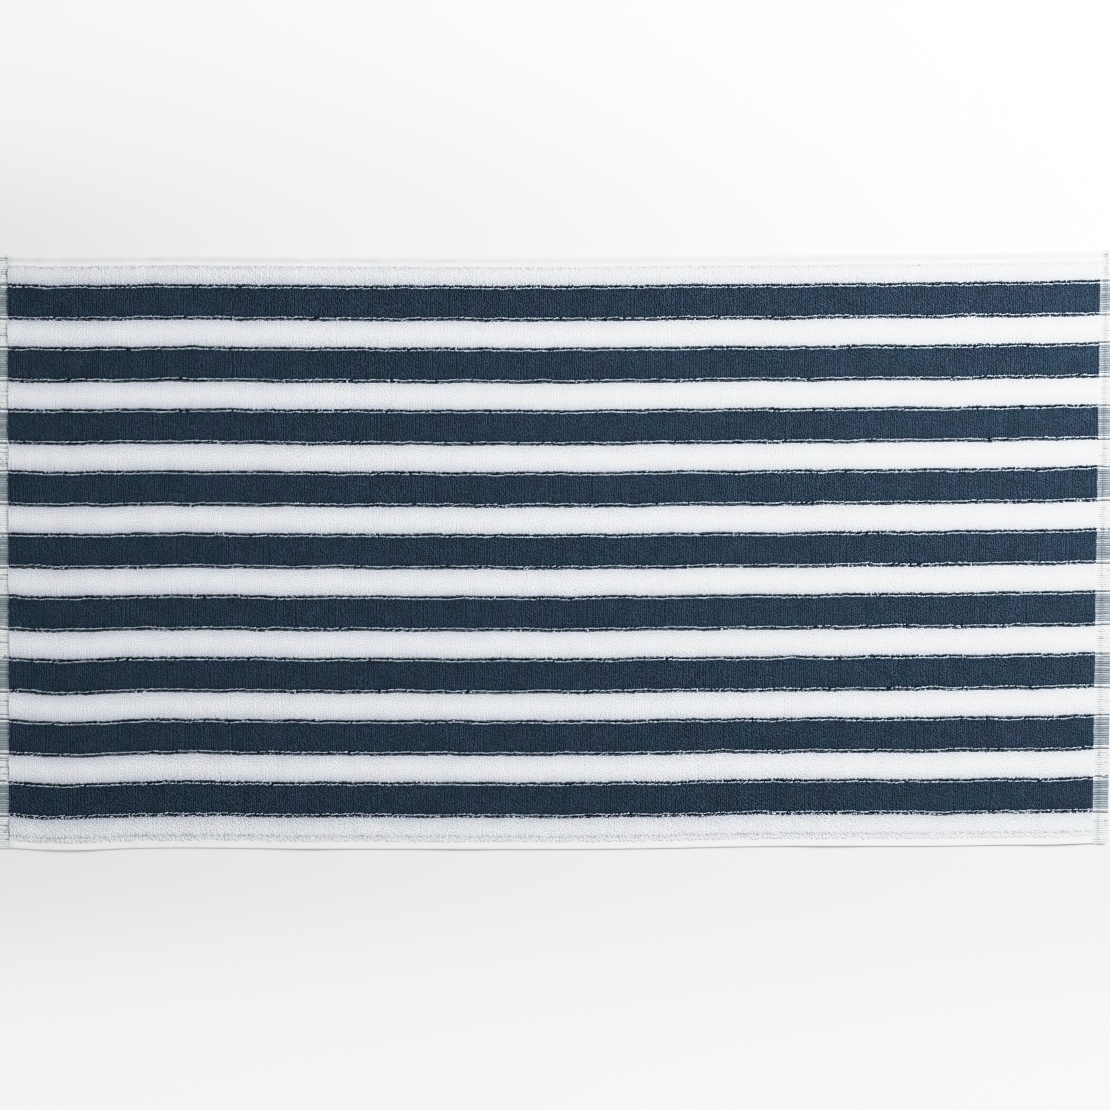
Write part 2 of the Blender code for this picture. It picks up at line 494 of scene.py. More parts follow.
def noise(tree, place, marks):
    """A soft random value at each place, mostly between the marks' low and high."""
    place = stretched(tree, place, (1.0, marks.across, 1.0))
    inputs = {"Vector": place, "Scale": marks.scale, "Detail": marks.detail}
    value = add_node(tree, "ShaderNodeTexNoise", inputs).outputs["Fac"]
    return between(tree, value, *NOISE_SPAN, marks.low, marks.high, clamp=False)


def cotton(name, find_place, colour, height, bump_size):
    """A dull, slightly uneven cotton surface of this colour, with this height as its bump."""
    material = bpy.data.materials.new(name)
    material.use_nodes = True
    tree = material.node_tree
    place = find_place(tree)
    bumps = {"Strength": BUMP_STRENGTH, "Distance": bump_size, "Height": height(tree, place)}
    fill(tree.nodes["Principled BSDF"], {
        "Base Color": colour(tree, place),
        "Roughness": noise(tree, place, ROUGH_MARKS),
        "Specular IOR Level": COTTON_GLOSS,
        "Normal": add_node(tree, "ShaderNodeBump", bumps).outputs["Normal"],
    })
    return material


def straight_uv(tree):
    """The place on the straight cloth, from the ground cloth's UV map."""
    return add_node(tree, "ShaderNodeUVMap", uv_map="straight").outputs["UV"]


def part_of(tree, place, axis):
    """One axis of a place."""
    return add_node(tree, "ShaderNodeSeparateXYZ", {"Vector": place}).outputs[axis]


def is_less(tree, first, second):
    """1 where the first is less than the second, otherwise 0."""
    return sum_of(tree, "LESS_THAN", first, second)


def edge_inset(tree, place, axis, size):
    """How far a place is from the nearer of the cloth's two edges across this axis."""
    from_middle = sum_of(tree, "ABSOLUTE", part_of(tree, place, axis))
    return sum_of(tree, "SUBTRACT", size / 2, from_middle)


def band_distance(tree, across):
    """How far a place across the cloth is from the middle line of the nearest band."""
    from_first = sum_of(tree, "SUBTRACT", across, FIRST_BAND)
    count = sum_of(tree, "ROUND", sum_of(tree, "DIVIDE", from_first, BAND_PITCH))
    band = sum_of(tree, "MINIMUM", sum_of(tree, "MAXIMUM", count, 0.0), float(BANDS - 1))
    from_middle = sum_of(tree, "MULTIPLY_ADD", band, -BAND_PITCH, from_first)
    return sum_of(tree, "ABSOLUTE", from_middle)


def painted_shade_beside_bands(tree, place, colour):
    """White with painted shade, greyer and bluer towards the nearest band, where the pile's edge falls
    away into shade.
    """
    away = band_distance(tree, part_of(tree, place, "Y"))
    near = between(tree, away, LINES_END, LINES_END + BAND_PAINTED_SHADE_WIDE, 1.0, 0.0)
    near = sum_of(tree, "POWER", near, BAND_PAINTED_SHADE_FALL)
    return painted_shadow_beside_seams(tree, place, tinted(tree, colour, near, BAND_PAINTED_SHADE))


def painted_shadow_beside_seams(tree, place, colour):
    """White that is greyer in the outermost strips, with painted shadow in patches where the seams
    pucker the terry.
    """
    inset = edge_inset(tree, place, "Y", CLOTH_WIDE)
    in_strip = is_less(tree, inset, OUTER_STRIP)
    light = sum_of(tree, "MULTIPLY_ADD", in_strip, OUTER_SHADE - 1.0, 1.0)
    colour = shaded(tree, colour, light)
    # Painted shadow along the seams, in patches where the stitches pucker the terry
    from_seam = sum_of(tree, "ABSOLUTE", sum_of(tree, "SUBTRACT", inset, SEAM_INSET))
    near = between(tree, from_seam, 0.0, PUCKER_SHADOW_REACH, 1.0, 0.0)
    pucker_shadow = sum_of(tree, "MULTIPLY", near, noise(tree, place, PUCKER_SHADOW_MARKS))
    return tinted(tree, colour, pucker_shadow, SEAM_PAINTED_SHADOW)


def painted_shade_into_lines(tree, place, colour):
    """Navy with painted shade at a band's two edges, in the crevice where the loops lean over into the
    edge lines.
    """
    away = band_distance(tree, part_of(tree, place, "Y"))
    light = between(tree, away, BODY_HALF - EDGE_PAINTED_SHADE_WIDE, BODY_HALF, 1.0, EDGE_PAINTED_SHADE)
    return shaded(tree, colour, light)


def stripes(tree, across, body, crevice, pale, dark, white):
    """Colours at a place across the cloth, given from a band's middle outwards."""
    share = sum_of(tree, "DIVIDE", band_distance(tree, across), BAND_PITCH / 2)
    ramp = add_node(tree, "ShaderNodeValToRGB", {"Fac": share})
    stops = (
        (BODY_HALF - LINE_BLUR, body),
        (BODY_HALF, crevice),
        (PALE_START - LINE_BLUR, crevice),
        (PALE_START, pale),
        (BETWEEN_LINES - LINE_BLUR, pale),
        (BETWEEN_LINES, dark),
        (DARK_STOP, dark),
        (WHITE_START, white),
    )
    elements = ramp.color_ramp.elements
    while len(elements) < len(stops):
        elements.new(0.5)
    for element, (place, colour) in zip(elements, stops):
        element.position = place / (BAND_PITCH / 2)
        element.color = (*colour, 1.0)
    return ramp.outputs["Color"]


def ground_colour(tree, place):
    """Striped under the terry with painted shade beside the bands, white in the side hems with painted
    light and a painted fold shade, and paler stripes in the headers.
    """
    across = part_of(tree, place, "Y")
    stray = noise(tree, place, STRAY_MARKS)
    woven = stripes(tree, sum_of(tree, "ADD", across, stray), *GROUND_COLOURS)
    woven = painted_shade_beside_bands(tree, place, woven)
    behind = sum_of(tree, "GREATER_THAN", across, 0.0)
    hem_wide = sum_of(tree, "MULTIPLY_ADD", behind, BACK_HEM_WIDE - FRONT_HEM_WIDE, FRONT_HEM_WIDE)
    to_side = edge_inset(tree, place, "Y", CLOTH_WIDE)
    # The hems' white is painted lighter at the front and darker at the back, for how the light falls on
    # them
    hem = shaded(tree, blend(tree, behind, *HEM_WHITES_PAINTED_LIGHT), noise(tree, place, HEM_MARKS))
    # Painted shade of the fold, a soft grey line inside the back hem's edge
    from_fold = sum_of(tree, "ABSOLUTE", sum_of(tree, "SUBTRACT", to_side, FOLD_INSET))
    near_fold_shade = between(tree, from_fold, 0.0, FOLD_SHADE_REACH, behind, 0.0)
    fold_shade_share = sum_of(tree, "MULTIPLY", near_fold_shade, noise(tree, place, FOLD_SHADE_MARKS))
    hem = tinted(tree, hem, fold_shade_share, FOLD_PAINTED_SHADE)
    colour = blend(tree, is_less(tree, to_side, hem_wide), woven, hem)
    header = stripes(tree, across, *HEADER_COLOURS)
    to_end = sum_of(tree, "ADD", edge_inset(tree, place, "X", CLOTH_LONG), stray)
    return blend(tree, is_less(tree, to_end, HEADER_WIDE), colour, header)


def underside_colour(tree, place):
    """The other face of the terry: the same bands, with each loop a little lighter or darker."""
    stray = noise(tree, place, STRAY_MARKS)
    strayed = sum_of(tree, "ADD", part_of(tree, place, "Y"), stray)
    woven = stripes(tree, strayed, *UNDER_COLOURS)
    return shaded(tree, woven, noise(tree, place, UNDER_SHADES))


def half_turns(tree, threads):
    """A wave that turns once for every two threads."""
    return sum_of(tree, "COSINE", sum_of(tree, "MULTIPLY", threads, math.pi))


def plain_weave(tree, place):
    """A height in which warp and weft threads pass over and under each other by turns."""
    warp, weft = (
        sum_of(tree, "DIVIDE", part_of(tree, place, axis), THREAD_PITCH) for axis in ("Y", "X")
    )
    heights = []
    for own, other, first in ((warp, weft, 1.0), (weft, warp, -1.0)):
        round_thread = sum_of(tree, "ABSOLUTE", half_turns(tree, own))
        own_count = sum_of(tree, "ROUND", own)
        over = half_turns(tree, sum_of(tree, "ADD", other, own_count))
        heights.append(sum_of(tree, "MULTIPLY_ADD", over, first, round_thread))
    return sum_of(tree, "MAXIMUM", *heights)


def loop_bumps(tree, place):
    """A height that rises and falls with each loop."""
    return noise(tree, place, UNDER_LOOPS)


cloth_guide = cloth_face()
ground = ground_cloth()
for finish in (
    ("ground_weave", straight_uv, ground_colour, plain_weave, WEAVE_DEEP),
    ("underside_terry", straight_uv, underside_colour, loop_bumps, UNDER_LOOPS_DEEP),
):
    ground.data.materials.append(cotton(*finish))
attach(ground, "root")
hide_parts("towel_cloth")

# ----------
# Setting things along rows. Loops, stitches and cords all repeat along straight rows of the
# weave, so each row is drawn on the straight cloth, and what stands in it follows the cloth
# wherever that lies.
ROW_INPUTS = {
    "Geometry": ("Rows",),
    "Object": ("Cloth", "Shape"),
    "Float": ("Spacing", "Wander Scale", "Missing"),
    "Vector": ("Stray", "Wander", "Lean", "Smallest", "Largest"),
    "Int": ("Seed",),
    "Material": ("Material",),
}


def row_tree():
    """Geometry nodes that set a shape along rows drawn on the straight cloth."""
    tree = bpy.data.node_groups.new("set_along_rows", "GeometryNodeTree")
    for kind, names in ROW_INPUTS.items():
        for name in names:
            tree.interface.new_socket(name, in_out="INPUT", socket_type="NodeSocket" + kind)
    tree.interface.new_socket("Pieces", in_out="OUTPUT", socket_type="NodeSocketGeometry")
    given = tree.nodes.new("NodeGroupInput").outputs

    def add(kind, inputs=(), output=0, **settings):
        """One output of a new geometry node."""
        return add_node(tree, "GeometryNode" + kind, inputs, **settings).outputs[output]

    def result(kind, inputs, **settings):
        """What comes out of a new function node."""
        return add_node(tree, "FunctionNode" + kind, inputs, **settings).outputs[0]

    def chance(low, high, step, kind="FLOAT_VECTOR"):
        """A random value for each point, from a step of its own after the seed."""
        first, output = (0, 0) if kind == "FLOAT_VECTOR" else (2, 1)
        inputs = {first: low, first + 1: high, "Seed": sum_of(tree, "ADD", given["Seed"], step)}
        return add_node(tree, "FunctionNodeRandomValue", inputs, data_type=kind).outputs[output]

    def either_way(by, step):
        """A random vector as long as this one, or shorter, in any direction."""
        return stretched(tree, chance((-1.0,) * 3, (1.0,) * 3, step), by)

    # Points at even steps along every row: one more than the whole steps, rounded
    curves = add("MeshToCurve", {"Mesh": given["Rows"]})
    steps = sum_of(tree, "DIVIDE", add("SplineLength", output="Length"), given["Spacing"])
    inputs = {"Curve": curves, "Count": sum_of(tree, "ADD", steps, 1.5)}
    spread = add_node(tree, "GeometryNodeCurveToPoints", inputs, mode="COUNT").outputs

    # Each point strays a little on its own, and wanders with its neighbours
    place = add("InputPosition")
    inputs = {"Vector": place, "Scale": given["Wander Scale"], "Detail": 1.0}
    waves = add_node(tree, "ShaderNodeTexNoise", inputs).outputs["Color"]
    swing = stretched(tree, vector_of(tree, "SUBTRACT", waves, (0.5,) * 3), given["Wander"])
    offset = vector_of(tree, "ADD", swing, either_way(given["Stray"], 1))
    moved = add("SetPosition", {"Geometry": spread["Points"], "Offset": offset})
    inputs = {"Geometry": moved, "Name": "straight", "Value": place}
    kept = add("StoreNamedAttribute", inputs, data_type="FLOAT_VECTOR")
    straight = add("InputNamedAttribute", {"Name": "straight"}, data_type="FLOAT_VECTOR")

    # The points move from the straight cloth to the cloth as it lies
    cloth = add("ObjectInfo", {"Object": given["Cloth"]}, "Geometry")
    inputs = {"Mesh": cloth, "Value": place, "Source UV Map": straight, "Sample UV": straight}
    found = add_node(tree, "GeometryNodeSampleUVSurface", inputs, data_type="FLOAT_VECTOR").outputs
    on_cloth = add("SetPosition", {"Geometry": kept, "Position": found["Value"]})
    off = result("BooleanMath", {0: found["Is Valid"]}, operation="NOT")
    inputs = {0: chance(0.0, 1.0, 2, "FLOAT"), 1: given["Missing"]}
    lost = result("Compare", inputs, operation="LESS_THAN")
    gone = result("BooleanMath", {0: off, 1: lost}, operation="OR")
    sown = add("DeleteGeometry", {"Geometry": on_cloth, "Selection": gone})

    # A copy of the shape stands at every point, along its row, leaning and sized by chance
    inputs = {"Vector": spread["Tangent"]}
    along_row = result("AlignRotationToVector", inputs, axis="X", pivot_axis="Z")
    tip = result("EulerToRotation", {0: either_way(given["Lean"], 3)})
    inputs = {"Rotation": along_row, "Rotate By": tip}
    turned = result("RotateRotation", inputs, rotation_space="LOCAL")
    shape = add("ObjectInfo", {"Object": given["Shape"]}, "Geometry")
    size = chance(given["Smallest"], given["Largest"], 4)
    inputs = {"Points": sown, "Instance": shape, "Rotation": turned, "Scale": size}
    copies = add("InstanceOnPoints", inputs)
    inputs = {"Geometry": copies, "Name": "shade", "Value": chance(0.0, 1.0, 5, "FLOAT")}
    shaded_copies = add("StoreNamedAttribute", inputs, data_type="FLOAT", domain="INSTANCE")
    real = add("RealizeInstances", {"Geometry": shaded_copies})
    smooth = add("SetShadeSmooth", {"Geometry": real})
    finished = add("SetMaterial", {"Geometry": smooth, "Material": given["Material"]})
    add_node(tree, "NodeGroupOutput", {"Pieces": finished})
    return tree


ROWS_TREE = row_tree()
RowLook = namedtuple(
    "RowLook",
    "Spacing Stray Wander Wander_Scale Lean Smallest Largest Missing Fuzz",
    defaults=[0.0, 0.0],
)


def vectors_of(parts, name):
    """This vector of every part of a mesh, one to a row."""
    values = np.empty(len(parts) * 3)
    parts.foreach_get(name, values)
    return values.reshape(-1, 3)


def soften(mesh, fuzz):
    """Normals turned part of the way up, because the fuzz on cotton yarn evens out the light."""
    normals = vectors_of(mesh.vertex_normals, "vector") * (1 - fuzz) + (0.0, 0.0, fuzz)
    normals /= np.linalg.norm(normals, axis=1, keepdims=True)
    mesh.normals_split_custom_set_from_vertices(normals.tolist())


def set_along_rows(name, rows, shape, material, look, seed, slot):
    """Add a piece: the shape repeated along rows, each given by its two ends."""
    points = [(*end, 0.0) for row in rows for end in row]
    edges = [(first, first + 1) for first in range(0, len(points), 2)]
    mesh = new_mesh(name + "_rows", points, edges, [])
    piece = add_piece(name, mesh)
    modifier = piece.modifiers.new("Set along rows", "NODES")
    modifier.node_group = ROWS_TREE
    values = {"Cloth": cloth_guide, "Shape": shape, "Material": material, "Seed": seed}
    values |= {field.replace("_", " "): value for field, value in look._asdict().items()}
    for socket in ROWS_TREE.interface.items_tree:
        if socket.in_out == "INPUT" and socket.name in values:
            modifier[socket.identifier] = values[socket.name]
    seen = piece.evaluated_get(bpy.context.evaluated_depsgraph_get())
    finished = bpy.data.meshes.new_from_object(seen)
    piece.modifiers.clear()
    piece.data = finished
    bpy.data.meshes.remove(mesh)
    finished.name = name
    seen_from_above = vectors_of(finished.vertices, "co")[:, :2]
    low, high = seen_from_above.min(0), seen_from_above.max(0)
    put_bake_uv(finished, (seen_from_above - low) / (high - low))
    soften(finished, look.Fuzz)
    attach(piece, "root")


# ----------
# Terry loops. Each is a short arch of soft twisted yarn that stands on the ground cloth, its
# two feet held by the weave. They stand in close ribs across the cloth, navy in the bands and
# white between them, and lean every way from washing.
LOOP_LONG = 0.0060
LOOP_BROAD = 0.0027
LOOP_TALL = 0.0016
LOOP_SUNK = 0.0001
LOOP_SKEW = 0.45
LOOP_SHOULDER = 0.35
# A shoulder's place along the yarn, round it and up it
SHOULDER_PLACE = (0.22, 0.5, 0.45)
YARN_TURNS = 2.5
PLIES_DEEP = 0.0003
TIP_RISE = 0.7
RIB_PITCH = 0.002634
RIB_STRAY = 0.00028
LOOP_PITCH = 0.00305
EDGE_STRAY = 0.0010
# Gaps beside a strip of loops: in a band, beside a line, and at a hem or a seam
NAVY_GAPS = (0.0018, 0.0016)
LINE_GAP = 0.0014
FIRST_LINE_GAP = 0.0005
HEM_GAP = 0.0018
SEAM_GAPS = (0.0014, 0.0022)

# Yarn at the loops' feet, painted darker there as shade (on the white terry painted lighter, as painted
# light against its shadows), its two mixed shades, and how its hue varies from place to place
Hues = namedtuple("Hues", "deep dull bright tints")
NAVY_HUES = Hues(
    (0.0125, 0.0225, 0.037),
    (0.0162, 0.0285, 0.046),
    (0.0256, 0.0465, 0.078),
    ((1.22, 0.96, 1.06), (0.80, 1.05, 0.95)),
)
# The white's colour at the feet is lighter than its yarn: painted light against the shadows between the
# loops
WHITE_HUES = Hues(
    (0.81, 0.83, 0.87),
    (0.685, 0.71, 0.757),
    (0.71, 0.735, 0.78),
    ((1.01, 0.965, 1.00), (0.95, 1.0, 0.975)),
)
MIX_MARKS = Marks(21.0, 2.0, 0.1, 1.4)
TINT_MARKS = Marks(26.0, 2.0, 0.0, 1.0)
FIBRE_MARKS = Marks(1500.0, 2.0, -0.25, 0.25)
RIB_MARKS = Marks(420.0, 1.0, -0.08, 0.08, 0.04)
PATCH_MARKS = Marks(50.0, 3.0, 0.74, 1.24)
WHITE_MARKS = (RIB_MARKS._replace(low=-0.02, high=0.02), PATCH_MARKS._replace(low=0.85, high=1.08))


def yarn_shape(name, points, faces, places):
    """A shape to repeat, each point with its place along the yarn, round it and up it."""
    mesh = new_mesh(name, points, [], faces)
    turn_outwards(mesh)
    kept = mesh.attributes.new("yarn", "FLOAT_VECTOR", "POINT")
    kept.data.foreach_set("vector", np.array(places, float).ravel())
    return add_piece(name, mesh)


def loop_shape():
    """One arch of yarn along X, drawn as a thick middle that winds down into both feet."""
    half, broad, shoulder = LOOP_LONG / 2, LOOP_BROAD / 2, LOOP_TALL * LOOP_SHOULDER
    points = [
        (-half, 0, -LOOP_SUNK),
        (-half * LOOP_SKEW, -broad, shoulder),
        (half * LOOP_SKEW, broad, shoulder),
        (0, 0, LOOP_TALL),
        (half, 0, -LOOP_SUNK),
    ]
    faces = [(0, 1, 3), (0, 3, 2), (0, 2, 1), (4, 3, 1), (4, 2, 3), (4, 1, 2)]
    along, round_yarn, up = SHOULDER_PLACE
    shoulders = [(-along, -round_yarn, up), (along, round_yarn, up)]
    places = [(-0.5, 0, 0), *shoulders, (0, 0, 1), (0.5, 0, 0)]
    return yarn_shape("terry_loop", points, faces, places)


def own_straight(tree):
    """The place on the straight cloth that each copy of a shape was given."""
    return add_node(tree, "ShaderNodeAttribute", attribute_name="straight").outputs["Vector"]


def own_shade(tree):
    """A share that each copy of a shape was given by chance."""
    return add_node(tree, "ShaderNodeAttribute", attribute_name="shade").outputs["Fac"]


def on_yarn(tree, axis):
    """A place along the yarn, round it or up it, which each copy carries with it."""
    places = add_node(tree, "ShaderNodeAttribute", attribute_name="yarn").outputs["Vector"]
    return part_of(tree, places, axis)


def yarn_twist(tree, place):
    """A height that winds round the yarn, as its plies do, with fine fibres over it."""
    along, round_yarn = on_yarn(tree, "X"), on_yarn(tree, "Y")
    turns = sum_of(tree, "MULTIPLY_ADD", along, YARN_TURNS, round_yarn)
    plies = sum_of(tree, "SINE", sum_of(tree, "MULTIPLY", turns, 2 * math.pi))
    in_space = add_node(tree, "ShaderNodeTexCoord").outputs["Object"]
    return sum_of(tree, "ADD", plies, noise(tree, in_space, FIBRE_MARKS))


def yarn(name, hues, marks=(RIB_MARKS, PATCH_MARKS), plies_deep=PLIES_DEEP, at_edges=None):
    """Soft cotton yarn, painted darker at the loops' feet as shade, and lighter there on the white terry
    as painted light, even in some patches and mixed in others.
    """

    def colour(tree, place):
        mixed = noise(tree, place, MIX_MARKS)
        from_even = sum_of(tree, "SUBTRACT", own_shade(tree), 0.5)
        shade = sum_of(tree, "MULTIPLY_ADD", from_even, mixed, 0.5)
        yarn = blend(tree, shade, hues.dull, hues.bright)
        in_ribs, patches = (noise(tree, place, some) for some in marks)
        light = sum_of(tree, "MULTIPLY_ADD", in_ribs, mixed, patches)
        # Painted shade at the loops' feet, and painted light there on the white terry
        tip = sum_of(tree, "POWER", on_yarn(tree, "Z"), TIP_RISE)
        yarn = blend(tree, tip, hues.deep, shaded(tree, yarn, light))
        tint = blend(tree, noise(tree, place, TINT_MARKS), *hues.tints)
        yarn = stretched(tree, yarn, tint)
        return at_edges(tree, place, yarn) if at_edges else yarn

    return cotton(name, own_straight, colour, yarn_twist, plies_deep)


def ribs(strips, seed):
    """Rows of loops across these strips of cloth, a rib pitch apart, not quite evenly."""
    chances = np.random.default_rng(seed)
    first = -CLOTH_LONG / 2 + HEADER_WIDE + RIB_PITCH / 2
    count = int((CLOTH_LONG - 2 * HEADER_WIDE) / RIB_PITCH)
    rows = []
    for near, far in strips:
        for rib in range(count):
            along = first + rib * RIB_PITCH + chances.normal(0.0, RIB_STRAY)
            start, stop = (end + chances.uniform(-EDGE_STRAY, EDGE_STRAY) for end in (near, far))
            rows.append(((along, start), (along, stop)))
    return rows


navy_strips = []
white_strips = [
    (-CLOTH_WIDE / 2 + FRONT_HEM_WIDE + HEM_GAP, FRONT_SEAM - SEAM_GAPS[0]),
    (FRONT_SEAM + SEAM_GAPS[1], FIRST_BAND - LINES_END - FIRST_LINE_GAP),
]
for band in range(BANDS):
    middle = FIRST_BAND + band * BAND_PITCH
    navy_strips.append((middle - BODY_HALF + NAVY_GAPS[0], middle + BODY_HALF - NAVY_GAPS[1]))
    white_end = middle + BAND_PITCH - LINES_END - LINE_GAP
    if band == BANDS - 1:
        white_end = BACK_SEAM - SEAM_GAPS[1]
    white_strips.append((middle + LINES_END + LINE_GAP, white_end))

terry_look = RowLook(
    Spacing=LOOP_PITCH,
    Stray=(0.00065, 0.0010, 0.0),
    Wander=(0.0012, 0.0, 0.0),
    Wander_Scale=90.0,
    Lean=(0.5, 0.2, 0.9),
    Smallest=(0.7, 0.8, 0.6),
    Largest=(1.2, 1.3, 1.35),
    Missing=0.015,
    Fuzz=0.35,
)
white_look = terry_look._replace(
    Stray=(0.0009, 0.0012, 0.0),
    Lean=(0.12, 0.05, 0.9),
    Smallest=(0.8, 1.1, 0.5),
    Largest=(1.2, 1.5, 0.8),
    Fuzz=0.62,
)
loop = loop_shape()
navy_yarn = yarn("navy_yarn", NAVY_HUES, at_edges=painted_shade_into_lines)
white_yarn = yarn("white_yarn", WHITE_HUES, WHITE_MARKS, at_edges=painted_shade_beside_bands)
for colour, strips, material, look in (
    ("navy", navy_strips, navy_yarn, terry_look),
    ("white", white_strips, white_yarn, white_look),
):
    half = (len(strips) + 1) // 2
    for part, some in (("front", strips[:half]), ("back", strips[half:])):
        seed = len(colour) + len(part)
        name = f"{colour}_loops_{part}"
        set_along_rows(name, ribs(some, seed), loop, material, look, seed, colour + "_terry")

# ----------
# Edge lines. Along both edges of every band the weave leaves a narrow gap without terry, where
# a row of near-black warp floats lies outside and a row of pale ones inside. The floats dip
# under the weft at every few threads, so both lines look broken.
LINE_STOP = 0.0018
LINE_SEED = 31
LINE_TINTS = ((0.90, 1.0, 1.0), (1.04, 0.98, 1.04))
DARK_HUES = Hues((0.014, 0.020, 0.026), (0.012, 0.020, 0.028), (0.080, 0.105, 0.125), LINE_TINTS)
PALE_HUES = Hues((0.05, 0.065, 0.08), (0.17, 0.22, 0.28), (0.48, 0.56, 0.66), LINE_TINTS)


def line_rows(away):
    """A row along both edges of each band, this far from its middle."""
    end = CLOTH_LONG / 2 - HEADER_WIDE - LINE_STOP
    middles = [FIRST_BAND + band * BAND_PITCH for band in range(BANDS)]
    lines = [middle + side * away for middle in middles for side in (-1, 1)]
    return [((-end, across), (end, across)) for across in lines]


dark_look = RowLook(
    Spacing=0.0025,
    Stray=(0.0008, 0.0006, 0.0),
    Wander=(0.0, 0.0030, 0.0),
    Wander_Scale=48.0,
    Lean=(0.5, 0.10, 0.12),
    Smallest=(0.6, 0.65, 0.8),
    Largest=(1.0, 1.05, 1.2),
    Missing=0.02,
    Fuzz=0.3,
)
pale_look = dark_look._replace(
    Spacing=0.0030, Smallest=(0.65, 0.85, 0.8), Largest=(1.15, 1.25, 1.2), Missing=0.03
)
for name, away, hues, look, slot in (
    ("dark", DARK_LINE, DARK_HUES, dark_look, "navy_terry"),
    ("pale", PALE_LINE, PALE_HUES, pale_look, "white_terry"),
):
    material = yarn(name + "_yarn", hues)
    set_along_rows(name + "_line_floats", line_rows(away), loop, material, look, LINE_SEED, slot)

# ----------
# Header cords. In the headers there are no loops, and the warp threads lie side by side as fine
# cords along X: pale ones among navy ones at the ends of the bands, white ones between, with an
# odd grey one. The weft crosses them at close, even steps.
CORD_PITCH = 0.0029
CORD_STEP = 0.0024
CORD_INSET = 0.0026
CORD_LONG = 0.0042
CORD_BROAD = 0.0023
CORD_TALL = 0.00055
CORD_SUNK = 0.0001
CORD_DEEP = 0.0002
CORD_STOP = 0.0008
CORD_SEED = 7
CORD_BLUE = (0.135, 0.162, 0.188)
CORD_PALE = (0.30, 0.343, 0.378)
CORD_GREY = (0.22, 0.245, 0.27)
CORD_WHITE = (0.62, 0.645, 0.67)
CORD_DARK = (0.12, 0.14, 0.165)
GREY_SHARE = 0.34
CORD_LIGHT = (0.80, 1.10)


def cord_shape():
    """A short length of half-round cord along X, tapered down at both ends."""
    half, side = CORD_LONG / 2, CORD_BROAD / 2
    points = [
        (-half, -side, -CORD_SUNK),
        (-half, side, -CORD_SUNK),
        (-half / 2, 0, CORD_TALL),
        (half / 2, 0, CORD_TALL),
        (half, -side, -CORD_SUNK),
        (half, side, -CORD_SUNK),
    ]
    faces = [(0, 1, 5, 4), (0, 4, 3, 2), (5, 1, 2, 3), (0, 2, 1), (4, 5, 3)]
    places = [(x / CORD_LONG, y / CORD_BROAD, float(z > 0)) for x, y, z in points]
    return yarn_shape("cord", points, faces, places)


def cord_rows():
    """A row for each cord, in both headers."""
    outer, inner = CLOTH_LONG / 2 - CORD_INSET, CLOTH_LONG / 2 - HEADER_WIDE + CORD_STOP
    rows = []
    for cord in range(1, int(CLOTH_WIDE / CORD_PITCH)):
        across = -CLOTH_WIDE / 2 + cord * CORD_PITCH
        rows += [((-outer, across), (-inner, across)), ((inner, across), (outer, across))]
    return rows


def cord_colour(tree, place):
    """Navy and pale cords at the ends of the bands, white between, an odd one grey."""
    across = part_of(tree, place, "Y")
    cord = sum_of(tree, "ROUND", sum_of(tree, "DIVIDE", across, CORD_PITCH))
    chance = add_node(tree, "ShaderNodeTexWhiteNoise", {"W": cord}, noise_dimensions="1D").outputs[0]
    is_grey = is_less(tree, chance, GREY_SHARE)
    mixed = blend(tree, chance, CORD_BLUE, CORD_PALE)
    away = band_distance(tree, across)
    along = sum_of(tree, "MULTIPLY_ADD", part_of(tree, place, "X"), 1 / CORD_STEP, chance)
    wave = half_turns(tree, sum_of(tree, "MULTIPLY", along, 2.0))
    dots = sum_of(tree, "MULTIPLY_ADD", wave, 0.5, 0.5)
    grey_dots = sum_of(tree, "MULTIPLY", is_grey, dots)
    plain = blend(tree, grey_dots, CORD_WHITE, CORD_GREY)
    colour = blend(tree, is_less(tree, away, BODY_HALF), plain, mixed)
    past_pale = sum_of(tree, "GREATER_THAN", away, BETWEEN_LINES)
    in_dark = sum_of(tree, "MULTIPLY", past_pale, is_less(tree, away, LINES_END))
    colour = blend(tree, in_dark, colour, CORD_DARK)
    light = between(tree, own_shade(tree), 0.0, 1.0, *CORD_LIGHT)
    return shaded(tree, colour, light)


cord_look = RowLook(
    Spacing=CORD_STEP,
    Stray=(0.0004, 0.0001, 0.0),
    Wander=(0.0, 0.0010, 0.0),
    Wander_Scale=60.0,
    Lean=(0.1, 0.05, 0.05),
    Smallest=(0.90, 0.90, 0.75),
    Largest=(1.10, 1.05, 1.10),
    Fuzz=0.2,
)
cord = cord_shape()
material = cotton("cord_cotton", own_straight, cord_colour, yarn_twist, CORD_DEEP)
set_along_rows("header_cords", cord_rows(), cord, material, cord_look, CORD_SEED, "flat_weave")

# ----------
# Hem stitches. One row of white lockstitch holds down each side hem, through the terry, and
# each header's turned end. The thread is drawn tight, so every stitch dips in at both ends.
STITCH_LONG = 0.0027
STITCH_STEP = 0.0034
THREAD_RADIUS = 0.00028
STITCH_BOW = 0.0004
STITCH_RINGS = 4
STITCH_SIDES = 4
STITCH_PLIES_DEEP = 0.00015
STITCH_SEED = 11
SEAM_STOP = 0.003
TURNED_SEAM = CLOTH_LONG / 2 - HEADER_HEM_WIDE + 0.0010
THREAD_HUES = Hues((0.45, 0.47, 0.49), (0.62, 0.635, 0.65), (0.74, 0.75, 0.76), WHITE_HUES.tints)
LINT_SHADE = (0.40, 0.43, 0.47)


